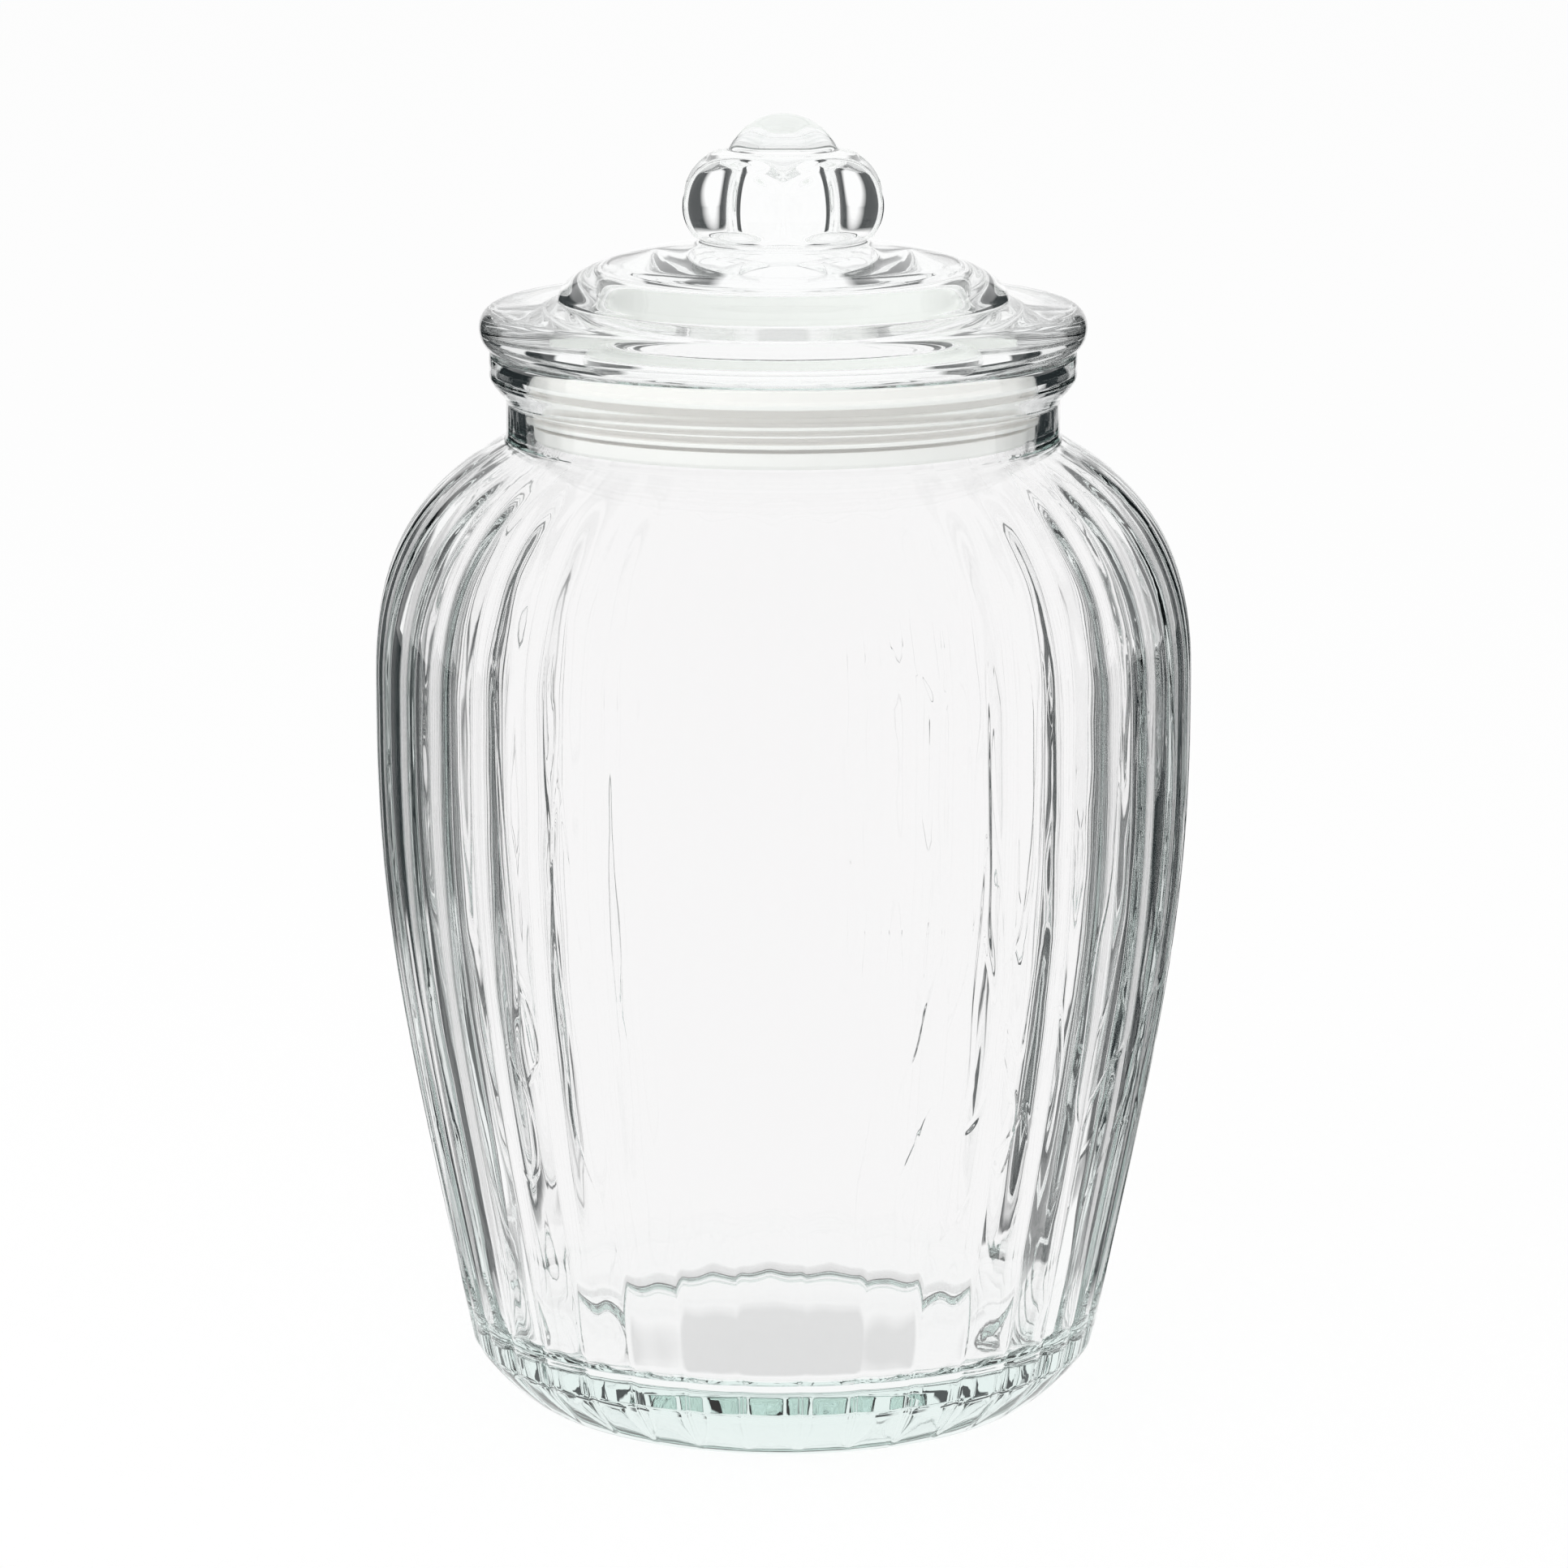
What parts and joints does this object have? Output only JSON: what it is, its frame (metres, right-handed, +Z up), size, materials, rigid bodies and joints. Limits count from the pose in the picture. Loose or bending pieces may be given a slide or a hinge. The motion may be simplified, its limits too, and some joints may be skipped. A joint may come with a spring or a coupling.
{
  "type": "glass storage jar",
  "caption": "Ribbed glass storage jar with a flanged glass lid, a lobed glass knob and a finned plastic seal that plugs the wide neck.",
  "frame": {"origin": "centre of the foot ring, on the surface that the jar stands on", "axes": "+Z up the axis of the jar, from the foot to the knob; -Y is the side that faces the viewer in the picture"},
  "size_m": [0.1648, 0.1648, 0.2616],
  "materials": {
    "jar_glass": "clear polished glass",
    "lid_glass": "clear pressed glass",
    "seal_plastic": "translucent white, satin"
  },
  "bodies": {
    "jar": {"jar_body": "jar_glass"},
    "seal": {"lid_seal": "seal_plastic"},
    "lid": {"lid": "lid_glass"}
  },
  "joints": [
    {"name": "lid_lift", "type": "slide", "parent": "jar", "child": "seal", "axis": [0, 0, 1], "range_m": [0, 0.1]},
    {"name": "lid_turn", "type": "hinge", "parent": "seal", "child": "lid", "pos_m": [0, 0, 0.2143], "axis": [0, 0, 1], "continuous": true}
  ]
}
